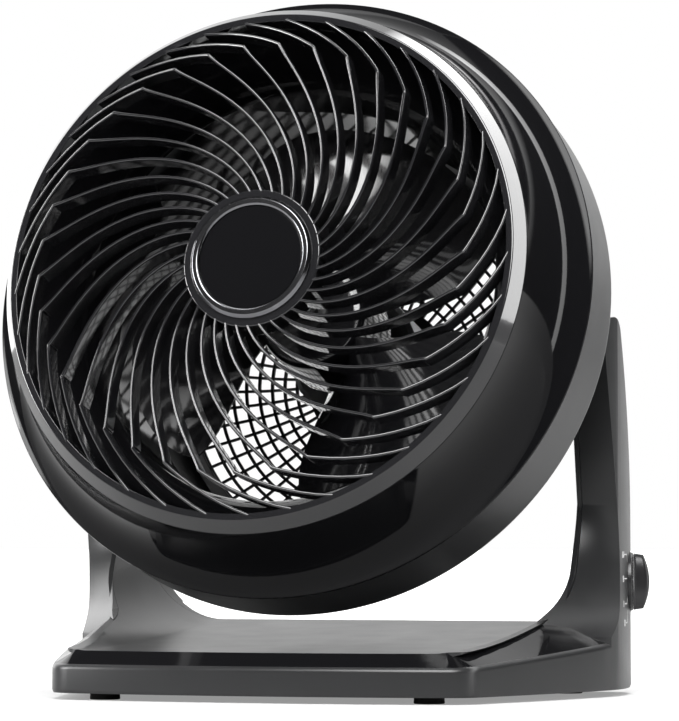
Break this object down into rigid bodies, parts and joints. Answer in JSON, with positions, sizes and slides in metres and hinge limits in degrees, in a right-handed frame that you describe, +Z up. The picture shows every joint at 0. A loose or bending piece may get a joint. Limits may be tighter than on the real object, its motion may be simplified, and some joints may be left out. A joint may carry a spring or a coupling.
{
  "type": "air circulator fan",
  "caption": "Air circulator with a deep trumpet-fronted head and a swirled grille, tilting between the arms of a U-shaped stand that carries a rotary speed knob.",
  "frame": {"origin": "bottom centre of the bounding box, on the floor under the stand", "axes": "+Z up, -Y the way the head faces, +X the side with the speed knob"},
  "size_m": [0.37, 0.3024, 0.4166],
  "materials": {
    "grille_black": "semi-gloss black",
    "gloss_black": "high gloss black",
    "knob_black": "semi-gloss black",
    "graphite_satin": "fine satin graphite",
    "matt_black": "matt black",
    "dark_chrome": "smoked bright ring",
    "steel": "zinc plated",
    "screw_steel": "black zinc plated",
    "laminations": "stacked sheet",
    "copper": "enamelled winding wire",
    "bronze": "sintered sleeve",
    "rubber": "matt black rubber"
  },
  "bodies": {
    "stand": {"stand_shell": "graphite_satin", "inner_ribbon": "graphite_satin", "base_bottom": "matt_black", "base_screw_1": "screw_steel", "base_screw_2": "screw_steel", "base_screw_3": "screw_steel", "base_screw_4": "screw_steel", "foot_front_left": "rubber", "foot_front_right": "rubber", "foot_rear_left": "rubber", "foot_rear_right": "rubber", "cord_gland": "rubber", "pivot_bush_left": "matt_black", "pivot_bush_right": "matt_black", "pivot_washer_left": "matt_black", "pivot_washer_right": "matt_black", "speed_switch": "matt_black", "switch_nut": "steel"},
    "head": {"front_grille": "grille_black", "hub_bezel": "dark_chrome", "hub_badge": "gloss_black", "front_shroud": "gloss_black", "outer_band": "graphite_satin", "inner_duct": "gloss_black", "rear_housing": "graphite_satin", "rear_grille": "matt_black", "rear_cap": "graphite_satin", "motor_rear_bell": "steel", "motor_front_bell": "steel", "stator_core": "laminations", "winding_rear": "copper", "winding_front": "copper", "bearing_rear": "bronze", "bearing_front": "bronze", "pivot_pin_left": "steel", "pivot_pin_right": "steel", "shell_screw_1": "screw_steel", "shell_screw_2": "screw_steel", "shell_screw_3": "screw_steel", "shell_screw_4": "screw_steel", "rim_screw_1": "screw_steel", "rim_screw_2": "screw_steel", "rim_screw_3": "screw_steel", "rim_screw_4": "screw_steel", "motor_screw_1": "screw_steel", "motor_screw_2": "screw_steel", "motor_screw_3": "screw_steel", "motor_screw_4": "screw_steel"},
    "propeller": {"propeller": "grille_black", "motor_shaft": "steel", "motor_rotor": "laminations", "propeller_nut": "matt_black"},
    "knob": {"speed_knob": "knob_black", "switch_shaft": "steel"}
  },
  "joints": [
    {"name": "head_tilt", "type": "hinge", "parent": "stand", "child": "head", "pos_m": [0, 0.05009, 0.2125], "axis": [-1, 0, 0], "range_deg": [-9, 75]},
    {"name": "propeller_spin", "type": "hinge", "parent": "head", "child": "propeller", "pos_m": [0, 0.05009, 0.2125], "axis": [0, -0.9659, 0.2588], "continuous": true},
    {"name": "knob_turn", "type": "hinge", "parent": "stand", "child": "knob", "pos_m": [0.16664, 0.10109, 0.068], "axis": [-0.9732, -0.23, 0], "range_deg": [0, 111]}
  ]
}
